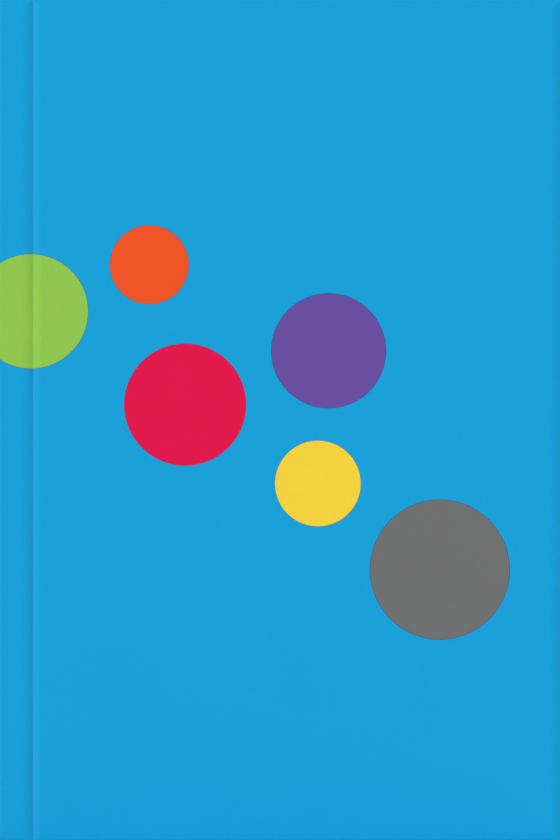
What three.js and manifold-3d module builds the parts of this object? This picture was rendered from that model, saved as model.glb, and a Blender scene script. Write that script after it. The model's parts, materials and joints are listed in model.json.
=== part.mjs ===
// A closed case-bound book with a flat spine, standing upright on its tail edges.
// Millimetres. +Z runs from tail to head, +X from the spine to the fore edge, and the front cover faces -Y.
// The origin is at the bottom of the case, in its middle.
// In a section seen from above, "across" counts from the spine's outer face and "out" from the mid-plane.

import * as THREE from "three";
import { mergeVertices } from "three/addons/utils/BufferGeometryUtils.js";
import Module from "manifold-3d";

// The case: two boards, a spine board and the covered joints between them
const CASE_WIDTH = 156.7;
const CASE_HEIGHT = 235;
const CASE_THICKNESS = 30;
const BOARD_THICKNESS = 2.7;
const SPINE_BOARD_THICKNESS = 1.9;
const SPINE_CORNER_RADIUS = 0.4;
const FACE_CORNER_RADIUS = 0.6;
const GAP = 0.3;

// The outer edges of the boards roll over, and so do both sides of the groove
const EDGE_ROLL_WIDTH = 2.8;
const EDGE_ROLL_DROP = 0.7;
const ROLL_STEPS = 6;
const SHOULDER_END = 6.6;
const VALLEY = 9.5;
const BOARD_FLAT_START = 11.9;
const VALLEY_DROP = 0.75;
const JOINT_THICKNESS = 0.9;

// The page block, set in from the case by the squares
const SQUARE = 3.2;
const ENDPAPER_THICKNESS = 0.5;
const LEAF_GROUP_THICKNESS = 0.8;
const PASTEDOWN_MARGIN = 3.4;
const PASTEDOWN_START = 12.3;
const FRONT_LEAF_GROUPS = 3;
const BACK_LEAF_GROUPS = 2;
const FIRST_LEAF_ROOT = 10.5;
const LEAF_ROOT_STEP = 1.1;
const LEAF_ROOT_CLEARANCE = 0.1;

// The headbands on the block's spine edge
const HEADBAND_WIDTH = 2.2;
const HEADBAND_HEIGHT = 2.1;
const HEADBAND_INSET = 0.3;
const HEADBAND_END_INSET = 0.5;
const HEADBAND_ARC_STEPS = 8;

const COVER_BLUE = 0x1ca1d9;
const ENDPAPER_WHITE = 0xe7e4dd;
const PAGE_CREAM = 0xe5dfd0;
const HEADBAND_BLUE = 0x2c6fa3;
const COVER_ROUGHNESS = 0.4;
const PAPER_ROUGHNESS = 0.9;
const THREAD_ROUGHNESS = 0.8;

const CURVE_STEPS = 5;
const MERGE_DISTANCE = 1e-4;

const FRONT = -1;
const BACK = 1;

const halfWidth = CASE_WIDTH / 2;
const halfThickness = CASE_THICKNESS / 2;
const blockStart = SPINE_BOARD_THICKNESS + GAP;
const blockEnd = CASE_WIDTH - SQUARE;
const blockHeight = CASE_HEIGHT - 2 * SQUARE;
const boardInner = halfThickness - BOARD_THICKNESS;
const jointEnd = VALLEY - GAP / 2;
const boardStart = VALLEY + GAP / 2;
const pastedownOuter = boardInner - GAP;
const pastedownInner = pastedownOuter - ENDPAPER_THICKNESS;
const shoulderOut = halfThickness - JOINT_THICKNESS - GAP;

const wasm = await Module();
wasm.setup();

// Solids

function solidOf(geometry) {
  geometry.deleteAttribute("normal");
  geometry.deleteAttribute("uv");
  const merged = mergeVertices(geometry, MERGE_DISTANCE);
  const mesh = new wasm.Mesh({
    numProp: 3,
    vertProperties: merged.attributes.position.array,
    triVerts: new Uint32Array(merged.index.array),
  });
  return new wasm.Manifold(mesh);
}

function geometryOf(solid) {
  const mesh = solid.getMesh();
  const geometry = new THREE.BufferGeometry();
  geometry.setAttribute("position", new THREE.BufferAttribute(mesh.vertProperties, 3));
  geometry.setIndex(new THREE.BufferAttribute(mesh.triVerts, 1));
  const faceted = geometry.toNonIndexed();
  faceted.computeVertexNormals();
  return faceted;
}

function extruded(shape, depth) {
  return new THREE.ExtrudeGeometry(shape, { depth, bevelEnabled: false, curveSegments: CURVE_STEPS });
}

// A section in X and Y, drawn up from one height for a length
function upright(shape, bottom, length) {
  return extruded(shape, length).translate(0, 0, bottom);
}

// Sections

function place(across, out, side) {
  return new THREE.Vector2(across - halfWidth, side * out);
}

// An arc that leaves a flat face smoothly: pairs of how far along and how far down
function roll(width, drop) {
  const radius = (width ** 2 + drop ** 2) / (2 * drop);
  const sweep = Math.asin(width / radius);
  const pairs = [];
  for (let step = 0; step <= ROLL_STEPS; step++) {
    const angle = (sweep * step) / ROLL_STEPS;
    pairs.push([radius * Math.sin(angle), radius * (1 - Math.cos(angle))]);
  }
  return pairs;
}

// A slope that leaves a flat face in a bend over half its width and then runs straight, as such pairs
function slope(width, drop) {
  const bend = drop / (0.75 * width ** 2);
  const pairs = [];
  for (let step = 0; step <= ROLL_STEPS; step++) {
    const along = (width / 2) * (step / ROLL_STEPS);
    pairs.push([along, bend * along ** 2]);
  }
  pairs.push([width, drop]);
  return pairs;
}

function boardSection(side) {
  const foreEdge = roll(EDGE_ROLL_WIDTH, EDGE_ROLL_DROP).map(([along, down]) =>
    place(CASE_WIDTH - EDGE_ROLL_WIDTH + along, halfThickness - down, side),
  );
  const groove = slope(BOARD_FLAT_START - boardStart, VALLEY_DROP).map(([along, down]) =>
    place(BOARD_FLAT_START - along, halfThickness - down, side),
  );
  return new THREE.Shape([
    place(boardStart, boardInner, side),
    place(CASE_WIDTH, boardInner, side),
    ...foreEdge.reverse(),
    ...groove,
  ]);
}

function shoulderLine(out, side) {
  return roll(jointEnd - SHOULDER_END, VALLEY_DROP).map(([along, down]) =>
    place(SHOULDER_END + along, out - down, side),
  );
}

function jointSection(side) {
  return new THREE.Shape([
    place(blockStart, halfThickness, side),
    ...shoulderLine(halfThickness, side),
    ...shoulderLine(halfThickness - JOINT_THICKNESS, side).reverse(),
    place(blockStart, halfThickness - JOINT_THICKNESS, side),
  ]);
}

function spineSection() {
  const corner = SPINE_CORNER_RADIUS;
  const inside = -halfWidth + SPINE_BOARD_THICKNESS;
  const shape = new THREE.Shape();
  shape.moveTo(inside, -halfThickness);
  shape.absarc(-halfWidth + corner, -halfThickness + corner, corner, -Math.PI / 2, -Math.PI, true);
  shape.absarc(-halfWidth + corner, halfThickness - corner, corner, Math.PI, Math.PI / 2, true);
  shape.lineTo(inside, halfThickness);
  return shape;
}

// The leaves that turn, from the cover inwards, each rooted further from the spine than the one above it
function leafStack(groups) {
  const leaves = [];
  let top = pastedownInner - GAP;
  for (let level = 0; level <= groups; level++) {
    const thickness = level === 0 ? ENDPAPER_THICKNESS : LEAF_GROUP_THICKNESS;
    leaves.push({ thickness, top, root: FIRST_LEAF_ROOT + level * LEAF_ROOT_STEP });
    top -= thickness + GAP;
  }
  return leaves;
}

// One side of the block's section, from the shoulder down the steps under the leaves to the fore edge
function blockSide(side, leaves) {
  const points = [place(blockStart, shoulderOut, side), ...shoulderLine(shoulderOut, side)];
  let tread = pastedownOuter;
  points.push(place(jointEnd, tread, side));
  for (const leaf of leaves) {
    const wall = leaf.root - leaf.thickness / 2 - LEAF_ROOT_CLEARANCE;
    points.push(place(wall, tread, side));
    tread = leaf.top - leaf.thickness - GAP;
    points.push(place(wall, tread, side));
  }
  points.push(place(blockEnd, tread, side));
  return points;
}

function headbandSection() {
  const shape = new THREE.Shape();
  const radius = HEADBAND_WIDTH / 2;
  const straight = HEADBAND_HEIGHT - radius;
  shape.moveTo(-radius, 0);
  shape.lineTo(radius, 0);
  for (let step = 0; step <= HEADBAND_ARC_STEPS; step++) {
    const angle = (Math.PI * step) / HEADBAND_ARC_STEPS;
    shape.lineTo(radius * Math.cos(angle), straight + radius * Math.sin(angle));
  }
  return shape;
}

// The whole case's outer shape, which trims each of its pieces at head and tail

function caseEndSection() {
  const shape = [];
  const edge = roll(EDGE_ROLL_WIDTH, EDGE_ROLL_DROP);
  const corner = (side, end) =>
    edge.map(([along, down]) => {
      const inward = EDGE_ROLL_WIDTH - along;
      const height = end === 0 ? inward : CASE_HEIGHT - inward;
      return new THREE.Vector2(side * (halfThickness - down), height);
    });
  shape.push(...corner(FRONT, 0), ...corner(BACK, 0).reverse());
  shape.push(...corner(BACK, 1), ...corner(FRONT, 1).reverse());
  return new THREE.Shape(shape);
}

function faceOutline() {
  const shape = new THREE.Shape();
  const radius = FACE_CORNER_RADIUS;
  const right = halfWidth - radius;
  const high = CASE_HEIGHT - radius;
  shape.moveTo(-right, 0);
  shape.absarc(right, radius, radius, -Math.PI / 2, 0, false);
  shape.absarc(right, high, radius, 0, Math.PI / 2, false);
  shape.absarc(-right, high, radius, Math.PI / 2, Math.PI, false);
  shape.absarc(-right, radius, radius, Math.PI, 1.5 * Math.PI, false);
  return shape;
}

function caseEnvelope() {
  const alongX = extruded(caseEndSection(), CASE_WIDTH)
    .rotateX(Math.PI / 2)
    .rotateZ(Math.PI / 2)
    .translate(-halfWidth, 0, 0);
  const alongY = extruded(faceOutline(), CASE_THICKNESS)
    .rotateX(Math.PI / 2)
    .translate(0, halfThickness, 0);
  return solidOf(alongX).intersect(solidOf(alongY));
}

// Materials

function paper(color, roughness) {
  return new THREE.MeshStandardMaterial({ color, roughness, metalness: 0 });
}

const book = new THREE.Group();

function add(name, geometry, material) {
  const mesh = new THREE.Mesh(geometry, material);
  mesh.name = name;
  book.add(mesh);
  return mesh;
}

// Pieces

function addCase() {
  const envelope = caseEnvelope();
  const sections = {
    front_board: boardSection(FRONT),
    back_board: boardSection(BACK),
    front_joint: jointSection(FRONT),
    back_joint: jointSection(BACK),
    spine_board: spineSection(),
  };
  for (const [name, section] of Object.entries(sections)) {
    const piece = solidOf(upright(section, 0, CASE_HEIGHT)).intersect(envelope);
    add(name, geometryOf(piece), paper(COVER_BLUE, COVER_ROUGHNESS));
  }
}

// A flat sheet between two distances across, with its outer face at one distance out
function addSheet(name, side, start, end, top, thickness, height, color) {
  const box = new THREE.BoxGeometry(end - start, thickness, height);
  const sheet = add(name, box, paper(color, PAPER_ROUGHNESS));
  sheet.position.set((start + end) / 2 - halfWidth, side * (top - thickness / 2), CASE_HEIGHT / 2);
}

function addPastedown(name, side) {
  const end = CASE_WIDTH - PASTEDOWN_MARGIN;
  const height = CASE_HEIGHT - 2 * PASTEDOWN_MARGIN;
  addSheet(name, side, PASTEDOWN_START, end, pastedownOuter, ENDPAPER_THICKNESS, height, ENDPAPER_WHITE);
}

function addLeaves(word, side, leaves) {
  leaves.forEach((leaf, level) => {
    const name = level === 0 ? `${word}_flyleaf` : `${word}_leaves_${level}`;
    const color = level === 0 ? ENDPAPER_WHITE : PAGE_CREAM;
    addSheet(name, side, leaf.root, blockEnd, leaf.top, leaf.thickness, blockHeight, color);
  });
}

function addTextBlock(frontLeaves, backLeaves) {
  const front = blockSide(FRONT, frontLeaves);
  const back = blockSide(BACK, backLeaves);
  const section = new THREE.Shape([...front, ...back.reverse()]);
  add("text_block", upright(section, SQUARE, blockHeight), paper(PAGE_CREAM, PAPER_ROUGHNESS));
}

function addHeadband(name, base, up) {
  const length = 2 * (shoulderOut - HEADBAND_END_INSET);
  const band = extruded(headbandSection(), length)
    .rotateX(Math.PI / 2)
    .translate(0, length / 2, 0);
  if (up < 0) band.rotateY(Math.PI);
  const mesh = add(name, band, paper(HEADBAND_BLUE, THREAD_ROUGHNESS));
  const across = blockStart + HEADBAND_INSET + HEADBAND_WIDTH / 2;
  mesh.position.set(across - halfWidth, 0, base + up * GAP);
}

const frontLeaves = leafStack(FRONT_LEAF_GROUPS);
const backLeaves = leafStack(BACK_LEAF_GROUPS);
addCase();
addTextBlock(frontLeaves, backLeaves);
addHeadband("headband_head", CASE_HEIGHT - SQUARE, 1);
addHeadband("headband_tail", SQUARE, -1);
addPastedown("front_pastedown", FRONT);
addPastedown("back_pastedown", BACK);
addLeaves("front", FRONT, frontLeaves);
addLeaves("back", BACK, backLeaves);

export default book;
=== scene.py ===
"""A case-bound book with a flat spine, standing closed on its tail edges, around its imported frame.

Sizes and places are in millimetres, and a section is a line of pairs. "Across" counts from the spine's
outer face towards the fore edge, "out" from the middle of the book towards one of its two covers, and "up"
from the tail.
"""

import json
import math
import random

import bmesh
import bpy
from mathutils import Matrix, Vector

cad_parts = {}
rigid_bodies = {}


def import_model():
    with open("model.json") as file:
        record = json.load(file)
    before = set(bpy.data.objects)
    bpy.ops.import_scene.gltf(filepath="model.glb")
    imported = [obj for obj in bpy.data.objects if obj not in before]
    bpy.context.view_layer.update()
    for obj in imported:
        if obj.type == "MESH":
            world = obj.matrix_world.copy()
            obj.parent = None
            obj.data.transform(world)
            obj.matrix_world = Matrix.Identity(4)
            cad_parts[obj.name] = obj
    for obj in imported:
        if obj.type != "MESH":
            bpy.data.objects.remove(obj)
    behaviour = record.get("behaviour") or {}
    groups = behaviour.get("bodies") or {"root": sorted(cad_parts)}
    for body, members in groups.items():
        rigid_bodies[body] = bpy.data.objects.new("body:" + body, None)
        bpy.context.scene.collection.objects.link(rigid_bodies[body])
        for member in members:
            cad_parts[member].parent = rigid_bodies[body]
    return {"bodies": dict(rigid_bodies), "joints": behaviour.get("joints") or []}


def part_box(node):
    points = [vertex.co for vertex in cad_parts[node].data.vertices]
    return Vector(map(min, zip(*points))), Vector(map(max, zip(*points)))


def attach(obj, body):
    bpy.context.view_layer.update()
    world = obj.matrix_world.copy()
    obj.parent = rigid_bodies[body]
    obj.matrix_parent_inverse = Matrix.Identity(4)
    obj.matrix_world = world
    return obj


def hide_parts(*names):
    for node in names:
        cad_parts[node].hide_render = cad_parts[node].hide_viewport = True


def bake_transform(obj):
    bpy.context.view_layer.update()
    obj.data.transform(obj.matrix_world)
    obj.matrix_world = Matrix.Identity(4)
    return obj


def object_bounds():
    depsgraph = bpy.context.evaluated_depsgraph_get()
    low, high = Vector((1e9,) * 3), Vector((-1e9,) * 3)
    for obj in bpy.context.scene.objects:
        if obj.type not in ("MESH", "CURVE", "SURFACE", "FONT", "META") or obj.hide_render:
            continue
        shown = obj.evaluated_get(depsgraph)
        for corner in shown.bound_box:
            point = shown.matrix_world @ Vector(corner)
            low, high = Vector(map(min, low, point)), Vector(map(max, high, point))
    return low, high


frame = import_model()
case_low, case_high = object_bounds()

MM = 0.001
FRONT = -1
BACK = 1
WORDS = {FRONT: "front", BACK: "back"}

# Sizes that the frame gives


def across_of(x):
    return (x - case_low.x) / MM


def out_span(node):
    """How far out a node's two faces lie, the nearer to the middle first."""
    low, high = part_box(node)
    return sorted((abs(low.y) / MM, abs(high.y) / MM))


CASE_WIDTH = across_of(case_high.x)
CASE_HEIGHT = case_high.z / MM
HALF_THICKNESS = case_high.y / MM
BOARD_START = across_of(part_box("front_board")[0].x)
BOARD_INNER = out_span("front_board")[0]
SPINE_BOARD_THICKNESS = across_of(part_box("spine_board")[1].x)
BLOCK_START = across_of(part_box("text_block")[0].x)
BLOCK_END = across_of(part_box("text_block")[1].x)
BLOCK_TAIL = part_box("text_block")[0].z / MM
BLOCK_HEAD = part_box("text_block")[1].z / MM
BLOCK_SHOULDER = out_span("text_block")[1]

# The case: its rolled edges and the groove beside the spine
SPINE_CORNER_RADIUS = 0.4
OUTLINE_CORNER_RADIUS = 0.6
OUTLINE_CORNER_STEPS = 4
WRAPPED_EDGE_RADIUS = 0.2
WRAPPED_EDGE_STEPS = 3
EDGE_ROLL_WIDTH = 2.8
EDGE_ROLL_DROP = 0.7
SHOULDER_END = 6.6
VALLEY = 9.5
BOARD_FLAT_START = 11.9
VALLEY_DROP = 0.75
STRIP_THICKNESS = 0.55
ARC_STEPS = 8
SUPPORT = 0.35
ROLL_JOINING = 4

# The covering paper turned in over the boards, and the endpapers over it
TURN_IN_WIDTH = 15
TURN_IN_THICKNESS = 0.12
TURN_IN_SINK = 0.01
TURN_IN_EDGE_STEPS = 2
TURN_IN_INSET = 0.25
MITRE_GAP = 0.06
PASTEDOWN_MARGIN = 3.4
ENDPAPER_THICKNESS = 0.14
LAYING_GAP = 0.02
LINING_START = 3
HINGE_CLOTH_END = 30
RELIEF_RUN = 1.2
RELIEF_STEPS = 4

# The leaves
LEAF_TOP = 11.95
LEAF_THICKNESS = 0.115
GATHERINGS = 21
GATHERING_LEAVES = 8
GATHERING_GAP = 0.06
LEAF_PITCH = (2 * LEAF_TOP - (GATHERINGS - 1) * GATHERING_GAP) / (GATHERINGS * GATHERING_LEAVES)
TRIM_SLIP = 0.05
TRIM_WAVE = 0.06
TRIM_SEED = 11
WAVE_LEAVES = 23
SPLAY_START = 9.6
SPLAY_END = 5
SPLAY_STEPS = 6
BEND_BEFORE = 0.6
BEND_LENGTH = 8.6
BEND_STEPS = 12
STOPS_PAST_BEND = (35, 85)

# Headbands and the paper that lines the block's spine
BAND_WRAPS = 38
WRAP_RINGS = (0.84, 0.97, 1.0, 0.97)
BAND_ARC_STEPS = 10
LINING_THICKNESS = 0.15
LINING_STEPS = 12

# Limits that tell edges and faces apart: two angles in degrees, a share, and distances
SHADED_SHARP = 40
ROUNDED_FROM = 45
FACING = 0.3
TOUCHING = 0.01
END_BAND = 0.5
HALVES_MEET = 0.5
MERGE_DISTANCE = 0.002

# Inks
BLUE = (0.0018, 0.312, 0.613)
GREEN = (0.246, 0.510, 0.065)
ORANGE = (0.780, 0.075, 0.010)
RED = (0.687, 0.001, 0.058)
PURPLE = (0.122, 0.063, 0.308)
YELLOW = (0.817, 0.580, 0.038)
GREY = (0.141, 0.141, 0.141)

# Print: plain discs, each with its place from the front spine corner and the tail, its radius and its ink
DISCS = (
    (9, 148, 16, GREEN),
    (42, 161, 11, ORANGE),
    (52, 122, 17, RED),
    (92, 137, 16, PURPLE),
    (89, 100, 12, YELLOW),
    (123, 76, 19.5, GREY),
)
DISC_EDGE = 0.04
INK_OVERLAP = 0.08

# The sheet map, on which each printed or plain sheet lies flat
SHEET_MAP = "print"
SPINE_WIDTH = 2 * HALF_THICKNESS
UNPRINTED_PART = 900
LEVEL_SPREAD = 100

# Papers: how large their clouds and tooth are, how deep the tone and how high the tooth, and their gloss
COVER_STOCK = dict(cloud=30, tooth=0.5, depth=0.04, rise=0.06, roughness=0.45, swing=0.06, gloss=0.22)
ENDPAPER_STOCK = dict(cloud=20, tooth=0.5, depth=0.04, rise=0.012, roughness=0.8, swing=0.05, gloss=0.2)
PAGE_STOCK = dict(cloud=15, tooth=0.4, depth=0.05, rise=0.012, roughness=0.85, swing=0.05, gloss=0.2)
LINING_STOCK = dict(cloud=10, tooth=0.6, depth=0.2, rise=0.02, roughness=0.85, swing=0.05, gloss=0.2)
FLOOR_STOCK = dict(cloud=400, tooth=2, depth=0.02)
ENDPAPER_WHITE = (0.800, 0.777, 0.722)
PAGE_CREAM = (0.785, 0.738, 0.632)
LINING_BROWN = (0.42, 0.33, 0.22)
FLOOR_COLOR = (0.86, 0.86, 0.86)

# Headband thread, wound by turns in two colours
THREAD_BLUE = (0.0252, 0.1559, 0.3663)
THREAD_WHITE = (0.80, 0.78, 0.72)
WRAPS_OF_ONE_COLOR = 2
TWIST_SCALE = 900
THREAD_ROUGHNESS = 0.6
THREAD_SWING = 0.1
THREAD_RISE = 0.03

# Studio: the floor and camera in metres, but the framed height and the camera's small shifts in millimetres
FLOOR_RADIUS = 6
FLOOR_STEPS = 96
CAMERA_DISTANCE = 2.0
CAMERA_REACH = 50
SENSOR_WIDTH = 36
FRAMED_HEIGHT = 234.15
CAMERA_RIGHT = 0.1
CAMERA_LIFT = 0.2
KEY_STRENGTH = 1.68
KEY_FROM = Vector((-0.17, -1.0, 0.22))
SIDE_LIGHT_STRENGTH = 0.88
SIDE_LIGHT_FROM = Vector((-0.9, -0.35, 0.12))
BACK_LIGHT_STRENGTH = 1.23
BACK_LIGHT_FROM = Vector((0.5, 0.8, 0.2))
TOP_LIGHT_STRENGTH = 0.24
TOP_LIGHT_FROM = Vector((0.0, 0.0, 1.0))
SOFTNESS = 25
WORLD_STRENGTH = 0.425

random.seed(TRIM_SEED)


# Shapes of lines


def smooth(share):
    share = max(0.0, min(1.0, share))
    return share * share * (3 - 2 * share)


def roll(width, drop):
    """An arc that leaves a flat face smoothly, as pairs of how far along and how far down."""
    radius = (width**2 + drop**2) / (2 * drop)
    sweep = math.asin(width / radius)
    angles = [sweep * step / ARC_STEPS for step in range(ARC_STEPS + 1)]
    return [(radius * math.sin(angle), radius * (1 - math.cos(angle))) for angle in angles]


def roll_down(width, drop, along):
    """How far down such an arc is at one distance along."""
    radius = (width**2 + drop**2) / (2 * drop)
    along = max(0.0, min(width, along))
    return radius - math.sqrt(radius**2 - along**2)


def slope_down(width, drop, along):
    """How far down a slope is that leaves a flat in a bend over half its width and then runs straight."""
    bend = drop / (0.75 * width**2)
    along = max(0.0, min(width, along))
    if along < width / 2:
        return bend * along**2
    return bend * width * (along - width / 4)


def slope(width, drop):
    """Such a slope, as pairs of how far along and how far down."""
    stops = [width / 2 * step / ARC_STEPS for step in range(ARC_STEPS + 1)] + [width]
    return [(along, slope_down(width, drop, along)) for along in stops]


def skin_drop(across):
    """How far the case's face lies below its flats at one distance across."""
    if across <= VALLEY:
        return roll_down(VALLEY - SHOULDER_END, VALLEY_DROP, across - SHOULDER_END)
    if across < BOARD_FLAT_START:
        return slope_down(BOARD_FLAT_START - VALLEY, VALLEY_DROP, BOARD_FLAT_START - across)
    return roll_down(EDGE_ROLL_WIDTH, EDGE_ROLL_DROP, across - CASE_WIDTH + EDGE_ROLL_WIDTH)


def end_drop(up):
    """How far it lies below them near the head and the tail."""
    reach = EDGE_ROLL_WIDTH - min(up, CASE_HEIGHT - up)
    return roll_down(EDGE_ROLL_WIDTH, EDGE_ROLL_DROP, reach)


def point(across, out, up, side):
    return Vector((case_low.x + across * MM, side * out * MM, up * MM))


def across_out_up(co):
    return across_of(co.x), abs(co.y) / MM, co.z / MM


# Making pieces


def section_face(bm, line, up, side):
    verts = [bm.verts.new(point(across, out, up, side)) for across, out in line]
    return bm.faces.new(verts)


def draw_on(bm, face, offset):
    """Draws a face on by an offset, with walls behind it, and returns it at its new place."""
    made = bmesh.ops.extrude_face_region(bm, geom=[face])["geom"]
    moved = [item for item in made if isinstance(item, bmesh.types.BMVert)]
    bmesh.ops.translate(bm, verts=moved, vec=offset)
    return next(item for item in made if isinstance(item, bmesh.types.BMFace))


def draw_through(bm, face, offsets):
    """Draws a section on through several offsets and leaves one closed body."""
    top = draw_on(bm, face, offsets[0])
    for offset in offsets[1:]:
        inner = top
        top = draw_on(bm, inner, offset)
        bm.faces.remove(inner)
    bmesh.ops.recalc_face_normals(bm, faces=bm.faces)


def draw_up(bm, face, stations):
    offsets = [Vector((0, 0, (station - last) * MM)) for last, station in zip(stations, stations[1:])]
    draw_through(bm, face, offsets)


def round_edges(bm, edges, radius, segments):
    bmesh.ops.bevel(
        bm, geom=edges, offset=radius * MM, segments=segments, profile=0.5, affect="EDGES", material=-1,
        clamp_overlap=True,
    )


def sharp_edges(bm):
    return [edge for edge in bm.edges if edge.calc_face_angle(0) > math.radians(ROUNDED_FROM)]


def unit_strip(bm, columns):
    """A flat strip one unit long and wide around the origin, with one row of faces, as its vertices."""
    return bmesh.ops.create_grid(bm, x_segments=columns, y_segments=1, size=0.5)["verts"]


def piece(name, bm, material):
    mesh = bpy.data.meshes.new(name)
    bm.to_mesh(mesh)
    bm.free()
    mesh.materials.append(material)
    mesh.shade_smooth()
    mesh.set_sharp_from_angle(angle=math.radians(SHADED_SHARP))
    obj = bpy.data.objects.new(name, mesh)
    bpy.context.scene.collection.objects.link(obj)
    return obj


def even_shading(obj):
    """Keeps the large flats flat beside their rounded edges."""
    modifier = obj.modifiers.new("even_shading", "WEIGHTED_NORMAL")
    modifier.keep_sharp = True


def give_thickness(obj, thickness):
    modifier = obj.modifiers.new("thickness", "SOLIDIFY")
    modifier.thickness = thickness * MM
    modifier.offset = 0


def lay_flat(bm, place_of):
    """Gives each corner of each face its place on the sheet map."""
    layer = bm.loops.layers.uv.new(SHEET_MAP)
    for face in bm.faces:
        for loop in face.loops:
            loop[layer].uv = place_of(face, loop.vert.co)


# Shader groups and materials


def add_node(tree, kind, inputs=(), **settings):
    made = tree.nodes.new(kind)
    for name, value in settings.items():
        setattr(made, name, value)
    for name, value in dict(inputs).items():
        if isinstance(value, bpy.types.NodeSocket):
            tree.links.new(value, made.inputs[name])
        else:
            made.inputs[name].default_value = value
    return made


def calculate(tree, operation, first, second=0.0):
    made = add_node(tree, "ShaderNodeMath", {0: first, 1: second}, operation=operation)
    return made.outputs[0]


def new_group(name, inputs, outputs):
    group = bpy.data.node_groups.new(name, "ShaderNodeTree")
    for socket_name, kind, value in inputs:
        socket = group.interface.new_socket(socket_name, in_out="INPUT", socket_type=kind)
        if value is not None:
            socket.default_value = value
    for socket_name, kind in outputs:
        group.interface.new_socket(socket_name, in_out="OUTPUT", socket_type=kind)
    return group, group.nodes.new("NodeGroupInput").outputs, group.nodes.new("NodeGroupOutput").inputs


def placed(tree, group, inputs):
    return add_node(tree, "ShaderNodeGroup", inputs, node_tree=group).outputs


def make_fibre_group():
    """Paper: a cloudy tone, and a fine tooth for the surface's height."""
    group, given, result = new_group(
        "paper_fibre",
        [
            ("Vector", "NodeSocketVector", None),
            ("Cloud Size", "NodeSocketFloat", 0.012),
            ("Tooth Size", "NodeSocketFloat", 0.0004),
            ("Depth", "NodeSocketFloat", 0.02),
        ],
        [("Tone", "NodeSocketFloat"), ("Height", "NodeSocketFloat")],
    )
    cloud_scale = calculate(group, "DIVIDE", 1.0, given["Cloud Size"])
    tooth_scale = calculate(group, "DIVIDE", 1.0, given["Tooth Size"])
    place = given["Vector"]
    cloud = add_node(group, "ShaderNodeTexNoise", {"Vector": place, "Scale": cloud_scale, "Detail": 3.0})
    tooth = add_node(group, "ShaderNodeTexNoise", {"Vector": place, "Scale": tooth_scale, "Detail": 4.0})
    both = calculate(group, "ADD", cloud.outputs["Fac"], tooth.outputs["Fac"])
    swing = calculate(group, "SUBTRACT", both, 1.0)
    change = calculate(group, "MULTIPLY", swing, given["Depth"])
    group.links.new(calculate(group, "ADD", change, 1.0), result["Tone"])
    group.links.new(tooth.outputs["Fac"], result["Height"])
    return group


def make_disc_group():
    """A disc printed on a flat map: a mask for its inside, and one for the line where two inks overlap."""
    group, given, result = new_group(
        "printed_disc",
        [
            ("Vector", "NodeSocketVector", None),
            ("Centre", "NodeSocketVector", None),
            ("Radius", "NodeSocketFloat", 0.01),
        ],
        [("Mask", "NodeSocketFloat"), ("Overlap", "NodeSocketFloat")],
    )
    apart = add_node(
        group, "ShaderNodeVectorMath", {0: given["Vector"], 1: given["Centre"]}, operation="DISTANCE"
    ).outputs["Value"]
    inside = calculate(group, "SUBTRACT", given["Radius"], apart)
    edge = add_node(
        group, "ShaderNodeMapRange",
        {"Value": inside, "From Min": -DISC_EDGE * MM / 2, "From Max": DISC_EDGE * MM / 2},
    )
    group.links.new(edge.outputs["Result"], result["Mask"])
    line = add_node(
        group, "ShaderNodeMapRange",
        {
            "Value": calculate(group, "ABSOLUTE", inside), "From Min": INK_OVERLAP * MM / 2,
            "From Max": (INK_OVERLAP / 2 + DISC_EDGE) * MM, "To Min": 1.0, "To Max": 0.0,
        },
    )
    group.links.new(line.outputs["Result"], result["Overlap"])
    return group


def new_material(name):
    material = bpy.data.materials.new(name)
    material.use_nodes = True
    tree = material.node_tree
    surface = tree.nodes["Principled BSDF"]
    return material, tree, surface


def mixed(tree, factor, first, second, way="MIX"):
    """Two colours mixed by a mask. Each is a socket or three numbers."""
    inputs = {"Factor": factor}
    for name, color in (("A", first), ("B", second)):
        inputs[name] = color if isinstance(color, bpy.types.NodeSocket) else (*color, 1)
    return add_node(tree, "ShaderNodeMix", inputs, data_type="RGBA", blend_type=way).outputs["Result"]


def tinted(tree, color, tone):
    """A colour times a tone that changes over the surface."""
    toned = add_node(tree, "ShaderNodeVectorMath", {0: color, "Scale": tone}, operation="SCALE")
    return toned.outputs["Vector"]


def vary_roughness(tree, surface, middle, swing, height):
    varied = add_node(
        tree, "ShaderNodeMapRange",
        {"Value": height, "To Min": middle - swing, "To Max": middle + swing},
    )
    tree.links.new(varied.outputs["Result"], surface.inputs["Roughness"])


def raise_surface(tree, surface, height, depth):
    bump = add_node(tree, "ShaderNodeBump", {"Height": height, "Distance": depth * MM})
    tree.links.new(bump.outputs["Normal"], surface.inputs["Normal"])


fibre = make_fibre_group()
disc = make_disc_group()


def sheet_place(tree):
    return add_node(tree, "ShaderNodeUVMap", uv_map=SHEET_MAP).outputs["UV"]


def paper_fibre(tree, place, stock):
    return placed(tree, fibre, {
        "Vector": place, "Cloud Size": stock["cloud"] * MM, "Tooth Size": stock["tooth"] * MM,
        "Depth": stock["depth"],
    })


def finish_as_paper(tree, surface, color, place, stock):
    """Gives a colour one stock's cloudy tone, and the surface its tooth and gloss."""
    paper = paper_fibre(tree, place, stock)
    tree.links.new(tinted(tree, color, paper["Tone"]), surface.inputs["Base Color"])
    vary_roughness(tree, surface, stock["roughness"], stock["swing"], paper["Height"])
    raise_surface(tree, surface, paper["Height"], stock["rise"])
    surface.inputs["Specular IOR Level"].default_value = stock["gloss"]


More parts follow.
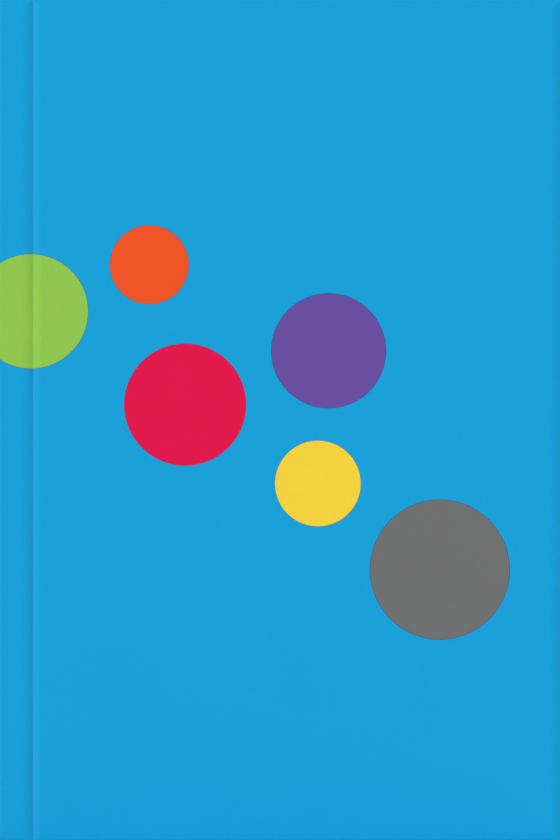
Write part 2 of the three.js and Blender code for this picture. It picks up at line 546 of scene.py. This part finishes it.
def cover_material():
    """Laminated printed paper, with the discs laid by the sheet map over one even blue."""
    material, tree, surface = new_material("printed_cover_paper")
    sheet = sheet_place(tree)
    color = BLUE
    for across, up, radius, ink in DISCS:
        spot = placed(tree, disc, {
            "Vector": sheet, "Centre": (across * MM, up * MM, 0), "Radius": radius * MM,
        })
        color = mixed(tree, spot["Mask"], color, ink)
        color = mixed(tree, spot["Overlap"], color, BLUE, "MULTIPLY")
    finish_as_paper(tree, surface, color, sheet, COVER_STOCK)
    return material


def paper_material(name, color, stock):
    material, tree, surface = new_material(name)
    finish_as_paper(tree, surface, color, sheet_place(tree), stock)
    return material


def thread_material():
    """Two threads wound by turns, each with its own fine twist."""
    material, tree, surface = new_material("headband_thread")
    place = add_node(tree, "ShaderNodeTexCoord").outputs["Object"]
    along = add_node(tree, "ShaderNodeSeparateXYZ", {0: place}).outputs["Y"]
    low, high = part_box("headband_head")
    wrap_width = (high.y - low.y) / BAND_WRAPS
    wrap = calculate(tree, "DIVIDE", calculate(tree, "SUBTRACT", along, low.y), wrap_width)
    repeat = calculate(tree, "FRACT", calculate(tree, "DIVIDE", wrap, 2 * WRAPS_OF_ONE_COLOR))
    second_half = calculate(tree, "GREATER_THAN", repeat, 0.5)
    threads = mixed(tree, second_half, THREAD_BLUE, THREAD_WHITE)
    twist = add_node(
        tree, "ShaderNodeTexWave", {"Vector": place, "Scale": TWIST_SCALE, "Distortion": 1.5, "Detail": 2.0},
        bands_direction="DIAGONAL",
    )
    tone = add_node(
        tree, "ShaderNodeMapRange", {"Value": twist.outputs["Fac"], "To Min": 0.8, "To Max": 1.05}
    ).outputs["Result"]
    tree.links.new(tinted(tree, threads, tone), surface.inputs["Base Color"])
    vary_roughness(tree, surface, THREAD_ROUGHNESS, THREAD_SWING, twist.outputs["Fac"])
    raise_surface(tree, surface, twist.outputs["Fac"], THREAD_RISE)
    return material


# The case


def case_line():
    """One half's section, from the middle of the spine round the face, and back along the inside."""
    corner = SPINE_CORNER_RADIUS
    straight = HALF_THICKNESS - corner
    near = roll(VALLEY - SHOULDER_END, VALLEY_DROP)
    far = slope(BOARD_FLAT_START - VALLEY, VALLEY_DROP)
    fore = roll(EDGE_ROLL_WIDTH, EDGE_ROLL_DROP)
    line = [(0, 0), (0, HALF_THICKNESS / 2)]
    for step in range(ARC_STEPS + 1):
        angle = math.pi / 2 * step / ARC_STEPS
        line.append((corner - corner * math.cos(angle), straight + corner * math.sin(angle)))
    line += [(corner + SUPPORT, HALF_THICKNESS), (SHOULDER_END - SUPPORT, HALF_THICKNESS)]
    line += [(SHOULDER_END + along, HALF_THICKNESS - down) for along, down in near]
    line += [(BOARD_FLAT_START - along, HALF_THICKNESS - down) for along, down in reversed(far[:-1])]
    line += [(BOARD_FLAT_START + SUPPORT, HALF_THICKNESS)]
    line += [(CASE_WIDTH - EDGE_ROLL_WIDTH - SUPPORT, HALF_THICKNESS)]
    line += [(CASE_WIDTH - EDGE_ROLL_WIDTH + along, HALF_THICKNESS - down) for along, down in fore]
    line += [(CASE_WIDTH, BOARD_INNER), (BOARD_START, BOARD_INNER)]
    line += strip_underside(BOARD_START, SPINE_BOARD_THICKNESS, STRIP_THICKNESS)
    line += [(SPINE_BOARD_THICKNESS, 0)]
    return line


def strip_underside(start, end, depth):
    """A line under the flexible strip and on under the spine, at one depth below the case's face."""
    steps = 2 * ARC_STEPS
    stops = [start + (SHOULDER_END - start) * step / steps for step in range(steps + 1)]
    stops += [(SHOULDER_END + end) / 2, end]
    return [(across, HALF_THICKNESS - skin_drop(across) - depth) for across in stops]


def end_stations():
    """Heights at which the case needs a ring: close together where it rolls over at tail and head."""
    ring = [EDGE_ROLL_WIDTH - along for along, _ in reversed(roll(EDGE_ROLL_WIDTH, EDGE_ROLL_DROP))]
    ring += [EDGE_ROLL_WIDTH + SUPPORT]
    return ring + [CASE_HEIGHT - height for height in reversed(ring)]


def roll_ends(bm):
    """Lowers the face, and the strip with its underside, towards head and tail."""
    for vert in bm.verts:
        across, out, up = across_out_up(vert.co)
        face = HALF_THICKNESS - skin_drop(across)
        depth = face - out
        on_face = depth < TOUCHING and across > SPINE_CORNER_RADIUS / 2
        in_strip = across < BOARD_START + TOUCHING and depth < STRIP_THICKNESS + SPINE_CORNER_RADIUS
        if not (on_face or in_strip):
            continue
        section, end = skin_drop(across), end_drop(up)
        joined = (section**ROLL_JOINING + end**ROLL_JOINING) ** (1 / ROLL_JOINING)
        vert.co.y -= math.copysign((joined - section) * MM, vert.co.y)


def print_place(face, co):
    """Where a point of the case lies on the printed sheet. The inside and the turned-in edges are plain."""
    across, out, up = across_out_up(co)
    side = BACK if face.calc_center_median().y > 0 else FRONT
    on_cover = face.normal.y * side > FACING
    on_spine = face.normal.x < -FACING and across < SPINE_BOARD_THICKNESS / 2
    if not (on_cover or on_spine):
        return (UNPRINTED_PART + across) * MM, (up + out) * MM
    around = across - (HALF_THICKNESS - out) if across < SPINE_CORNER_RADIUS else across
    if side == BACK:
        around = -SPINE_WIDTH - around
    return around * MM, up * MM


def outline_corners(bm):
    """The edges that run through the board's two outer corners."""
    corners = []
    for edge in bm.edges:
        first, second = edge.verts
        at_fore = min(across_of(first.co.x), across_of(second.co.x)) > CASE_WIDTH - TOUCHING
        at_end = first.co.z == second.co.z and not END_BAND < first.co.z / MM < CASE_HEIGHT - END_BAND
        if at_fore and at_end:
            corners.append(edge)
    return corners


def wrapped_edges(bm):
    """The sharp edges, apart from those where the case's two halves meet."""
    return [
        edge for edge in sharp_edges(bm)
        if max(abs(vert.co.y) for vert in edge.verts) > HALVES_MEET * MM
    ]


def build_case_half(side, material):
    bm = bmesh.new()
    stations = end_stations()
    draw_up(bm, section_face(bm, case_line(), stations[0], side), stations)
    roll_ends(bm)
    round_edges(bm, outline_corners(bm), OUTLINE_CORNER_RADIUS, OUTLINE_CORNER_STEPS)
    round_edges(bm, wrapped_edges(bm), WRAPPED_EDGE_RADIUS, WRAPPED_EDGE_STEPS)
    bmesh.ops.remove_doubles(bm, verts=bm.verts, dist=MERGE_DISTANCE * MM)
    bm.normal_update()
    lay_flat(bm, print_place)
    word = WORDS[side]
    case = piece(f"case_{word}", bm, material)
    even_shading(case)
    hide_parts(f"{word}_board", f"{word}_joint", "spine_board")
    fold_with_cover(case)


def fold_with_cover(obj):
    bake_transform(obj)


def build_turn_ins(side, material):
    """The covering paper turned in over three edges of a board, mitred where two of them meet."""
    bm = bmesh.new()
    low, high = TURN_IN_INSET, CASE_HEIGHT - TURN_IN_INSET
    fore = CASE_WIDTH - TURN_IN_INSET
    start = BOARD_START + TURN_IN_INSET
    width = TURN_IN_WIDTH
    inner = fore - width
    gap = MITRE_GAP
    strips = [
        [(start, low), (fore - gap, low), (inner - gap, low + width), (start, low + width)],
        [(start, high), (fore - gap, high), (inner - gap, high - width), (start, high - width)],
        [(fore, low + gap), (fore, high - gap), (inner, high - width - gap), (inner, low + width + gap)],
    ]
    for strip in strips:
        verts = [bm.verts.new(point(across, BOARD_INNER + TURN_IN_SINK, up, side)) for across, up in strip]
        draw_on(bm, bm.faces.new(verts), Vector((0, -side * TURN_IN_THICKNESS * MM, 0)))
    bmesh.ops.recalc_face_normals(bm, faces=bm.faces)
    round_edges(bm, sharp_edges(bm), TURN_IN_THICKNESS / 4, TURN_IN_EDGE_STEPS)
    lay_flat(bm, print_place)
    word = WORDS[side]
    turn_ins = piece(f"turn_ins_{word}", bm, material)
    even_shading(turn_ins)
    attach(turn_ins, f"{word}_cover")


# Endpapers, leaves and the block


def plain_place(face, co):
    """A place on a sheet of plain paper, with each level of the book on another part of it."""
    return co.x, co.z + co.y * LEVEL_SPREAD


def relief_limits():
    """Where the turned-in paper ends at the fore edge, tail and head, and the cloth beside the hinge."""
    fore = CASE_WIDTH - TURN_IN_INSET - TURN_IN_WIDTH
    tail = TURN_IN_INSET + TURN_IN_WIDTH
    return fore, tail, CASE_HEIGHT - tail, HINGE_CLOTH_END


def relief_ramp(start, way):
    return [start + way * RELIEF_RUN * step / RELIEF_STEPS for step in range(RELIEF_STEPS + 1)]


def pastedown_relief(across, up):
    """How far the pastedown sinks to the bare board inside what is glued down under it."""
    fore, tail, head, cloth = relief_limits()
    inside = min(fore - across, across - cloth, up - tail, head - up)
    return TURN_IN_THICKNESS * smooth(inside / RELIEF_RUN)


def build_endpaper(side, material):
    """The pastedown, which runs on over the board's edge and lines the flexible strip."""
    bm = bmesh.new()
    under = STRIP_THICKNESS + LAYING_GAP
    edge = BOARD_START - LAYING_GAP
    near_out = BOARD_INNER - TURN_IN_THICKNESS - LAYING_GAP
    end = CASE_WIDTH - PASTEDOWN_MARGIN
    far_out = near_out - ENDPAPER_THICKNESS
    bend = edge - ENDPAPER_THICKNESS
    fore, tail, head, cloth = relief_limits()
    columns = relief_ramp(fore, -1) + relief_ramp(cloth, 1)[::-1]
    outer = [(across, near_out) for across in (end, *columns, edge)]
    outer += strip_underside(edge, LINING_START, under)
    inner = [(across, far_out) for across in (end, *columns, bend)]
    inner += strip_underside(bend, LINING_START, under + ENDPAPER_THICKNESS)
    stations = [PASTEDOWN_MARGIN, *relief_ramp(tail, 1)]
    stations += [*relief_ramp(head, -1)[::-1], CASE_HEIGHT - PASTEDOWN_MARGIN]
    draw_up(bm, section_face(bm, outer + inner[::-1], stations[0], side), stations)
    for vert in bm.verts:
        across, _, up = across_out_up(vert.co)
        vert.co.y += side * pastedown_relief(across, up) * MM
    lay_flat(bm, plain_place)
    word = WORDS[side]
    endpaper = piece(f"endpaper_{word}", bm, material)
    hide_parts(f"{word}_pastedown")
    fold_with_cover(endpaper)


def splay(across):
    """How much further out a leaf lies at the shoulders than in the flat of the block."""
    share = smooth((SPLAY_START - across) / (SPLAY_START - SPLAY_END))
    return 1 + share * (BLOCK_SHOULDER / (LEAF_TOP + LEAF_PITCH) - 1)


def leaf_columns(root):
    """Where a leaf has edges across its width: close together where it splays and, with a root, around that
    root.
    """
    columns = [BLOCK_START]
    for step in range(SPLAY_STEPS + 1):
        columns.append(SPLAY_END + (SPLAY_START - SPLAY_END) * step / SPLAY_STEPS)
    if root is not None:
        for step in range(BEND_STEPS + 1):
            columns.append(root - BEND_BEFORE + BEND_LENGTH * step / BEND_STEPS)
        columns += [root + stop for stop in STOPS_PAST_BEND]
    columns.append(BLOCK_END)
    return columns


def add_leaf(bm, level, root):
    """One leaf, laid at its level, which counts from the middle of the book towards the back cover."""
    columns = leaf_columns(root)
    wave = TRIM_WAVE * math.sin(2 * math.pi * level / (WAVE_LEAVES * LEAF_PITCH))
    fore = wave + random.uniform(-TRIM_SLIP, TRIM_SLIP)
    head = wave / 2 + random.uniform(-TRIM_SLIP, TRIM_SLIP)
    tail = wave / 2 + random.uniform(-TRIM_SLIP, TRIM_SLIP)
    for vert in unit_strip(bm, len(columns) - 1):
        across = columns[round((vert.co.x + 0.5) * (len(columns) - 1))]
        up = BLOCK_HEAD + head if vert.co.y > 0 else BLOCK_TAIL + tail
        if across == BLOCK_END:
            across += fore
        vert.co = point(across, level * splay(across), up, BACK)


def leaf_levels():
    """Where the leaves lie: sewn gatherings of a few leaves each, with a slightly wider gap between them."""
    levels = []
    for index in range(GATHERINGS * GATHERING_LEAVES):
        gaps = index // GATHERING_LEAVES * GATHERING_GAP
        levels.append(-LEAF_TOP + LEAF_PITCH * (index + 0.5) + gaps)
    return levels


def build_leaves(name, levels, material, root=None):
    bm = bmesh.new()
    for level in levels:
        add_leaf(bm, level, root)
    bmesh.ops.recalc_face_normals(bm, faces=bm.faces)
    lay_flat(bm, plain_place)
    leaves = piece(name, bm, material)
    give_thickness(leaves, LEAF_THICKNESS)
    return leaves


def turning_groups(side):
    """The bodies that turn on one side, from the cover inwards, each with the level at which it ends."""
    word = WORDS[side]
    names = [f"{word}_flyleaf"]
    names += sorted(name for name in frame["bodies"] if name.startswith(f"{word}_leaves"))
    floors = []
    for name, below in zip(names, names[1:]):
        floors.append((out_span(name)[0] + out_span(below)[1]) / 2)
    floors.append(2 * floors[-1] - floors[-2])
    return list(zip(names, floors))


def root_of(name):
    joint = next(joint for joint in frame["joints"] if joint["child"] == name)
    return across_of(joint["pos_m"][0])


def turn_leaves(obj):
    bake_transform(obj)


def build_turning_leaves(side, levels, page, endpaper):
    """Makes each group that turns on one side, and returns the levels that are left."""
    for name, floor in turning_groups(side):
        group = [level for level in levels if level * side > floor]
        levels = [level for level in levels if level * side <= floor]
        root = root_of(name)
        if name.endswith("flyleaf"):
            outermost = max(group, key=lambda level: level * side)
            group.remove(outermost)
            flyleaf = build_leaves(f"sheet_{name}", [outermost], endpaper, root)
            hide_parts(name)
            turn_leaves(flyleaf)
        leaves = build_leaves(f"pages_{name}", group, page, root)
        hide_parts(name)
        turn_leaves(leaves)
    return levels


def build_block(levels, page):
    block = build_leaves("pages_block", levels, page)
    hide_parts("text_block")
    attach(block, "block")


def build_spine_lining(material):
    bm = bmesh.new()
    across = (SPINE_BOARD_THICKNESS + BLOCK_START) / 2
    for vert in unit_strip(bm, LINING_STEPS):
        out = 2 * vert.co.x * (BLOCK_SHOULDER - LINING_THICKNESS)
        up = BLOCK_HEAD if vert.co.y > 0 else BLOCK_TAIL
        vert.co = point(across, out, up, BACK)
    lay_flat(bm, lambda face, co: (co.y, co.z))
    lining = piece("spine_lining", bm, material)
    give_thickness(lining, LINING_THICKNESS)
    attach(lining, "block")


def band_section(low, high):
    """A headband's round-topped section, as pairs of how far from its middle and how far up."""
    radius = (high.x - low.x) / 2
    straight = (high.z - low.z) - radius
    section = [(-radius, 0)]
    for step in range(BAND_ARC_STEPS + 1):
        angle = math.pi * step / BAND_ARC_STEPS
        section.append((-radius * math.cos(angle), straight + radius * math.sin(angle)))
    return section + [(radius, 0)]


def build_headband(name, foot, way, material):
    """A cord wound with thread: a ribbed bar with one swelling for each wrap, up or down from its foot."""
    low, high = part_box(name)
    reach = high.z - foot if way > 0 else foot - low.z
    rise = reach / (high.z - low.z)
    middle = (low.x + high.x) / 2
    section = band_section(low, high)
    bm = bmesh.new()
    verts = [bm.verts.new((middle + along, low.y, foot + way * height * rise)) for along, height in section]
    face = bm.faces.new(verts)
    rings = BAND_WRAPS * len(WRAP_RINGS)
    step = (high.y - low.y) / rings
    draw_through(bm, face, [Vector((0, step, 0))] * rings)
    for vert in bm.verts:
        index = round((vert.co.y - low.y) / step)
        swell = WRAP_RINGS[index % len(WRAP_RINGS)]
        vert.co.x = middle + (vert.co.x - middle) * swell
        vert.co.z = foot + (vert.co.z - foot) * swell
    bmesh.ops.recalc_face_normals(bm, faces=bm.faces)
    band = piece(f"wound_{name}", bm, material)
    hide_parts(name)
    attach(band, "block")


# Studio


def build_floor():
    bm = bmesh.new()
    bmesh.ops.create_circle(bm, cap_ends=True, segments=FLOOR_STEPS, radius=FLOOR_RADIUS)
    mesh = bpy.data.meshes.new("studio_floor")
    bm.to_mesh(mesh)
    bm.free()
    material, tree, surface = new_material("floor_paint")
    place = add_node(tree, "ShaderNodeTexCoord").outputs["Object"]
    paint = paper_fibre(tree, place, FLOOR_STOCK)
    tree.links.new(tinted(tree, FLOOR_COLOR, paint["Tone"]), surface.inputs["Base Color"])
    surface.inputs["Roughness"].default_value = 0.9
    surface.inputs["Specular IOR Level"].default_value = 0.1
    mesh.materials.append(material)
    floor = bpy.data.objects.new("studio_floor", mesh)
    bpy.context.scene.collection.objects.link(floor)


def add_sun(name, strength, direction):
    light = bpy.data.lights.new(name, "SUN")
    light.energy = strength
    light.angle = math.radians(SOFTNESS)
    lamp = bpy.data.objects.new(name, light)
    lamp.rotation_euler = direction.to_track_quat("Z", "Y").to_euler()
    bpy.context.scene.collection.objects.link(lamp)
    return lamp


def build_studio():
    build_floor()
    key = add_sun("key_light", KEY_STRENGTH, KEY_FROM)
    key.visible_glossy = False  # a broad, even light that leaves no highlight in the middle of the cover
    add_sun("side_light", SIDE_LIGHT_STRENGTH, SIDE_LIGHT_FROM)
    add_sun("back_light", BACK_LIGHT_STRENGTH, BACK_LIGHT_FROM)
    add_sun("top_light", TOP_LIGHT_STRENGTH, TOP_LIGHT_FROM)
    world = bpy.data.worlds.new("studio")
    world.use_nodes = True
    world.node_tree.nodes["Background"].inputs["Color"].default_value = (1, 1, 1, 1)
    world.node_tree.nodes["Background"].inputs["Strength"].default_value = WORLD_STRENGTH
    bpy.context.scene.world = world
    bpy.context.scene.view_settings.view_transform = "Standard"


def build_camera():
    data = bpy.data.cameras.new("camera")
    data.sensor_width = SENSOR_WIDTH
    data.lens = SENSOR_WIDTH * CAMERA_DISTANCE / (FRAMED_HEIGHT * MM)
    data.clip_end = CAMERA_REACH
    camera = bpy.data.objects.new("camera", data)
    height = CASE_HEIGHT / 2 + CAMERA_LIFT
    camera.location = (CAMERA_RIGHT * MM, case_low.y - CAMERA_DISTANCE, height * MM)
    camera.rotation_euler = (math.pi / 2, 0, 0)
    bpy.context.scene.collection.objects.link(camera)
    bpy.context.scene.camera = camera


def build_book():
    printed = cover_material()
    endpaper = paper_material("endpaper_stock", ENDPAPER_WHITE, ENDPAPER_STOCK)
    page = paper_material("page_stock", PAGE_CREAM, PAGE_STOCK)
    lining = paper_material("lining_stock", LINING_BROWN, LINING_STOCK)
    thread = thread_material()
    levels = leaf_levels()
    for side in (FRONT, BACK):
        build_case_half(side, printed)
        build_turn_ins(side, printed)
        build_endpaper(side, endpaper)
        levels = build_turning_leaves(side, levels, page, endpaper)
    build_block(levels, page)
    build_spine_lining(lining)
    build_headband("headband_head", BLOCK_HEAD * MM, 1, thread)
    build_headband("headband_tail", BLOCK_TAIL * MM, -1, thread)


build_book()
build_studio()
build_camera()
bpy.context.view_layer.update()
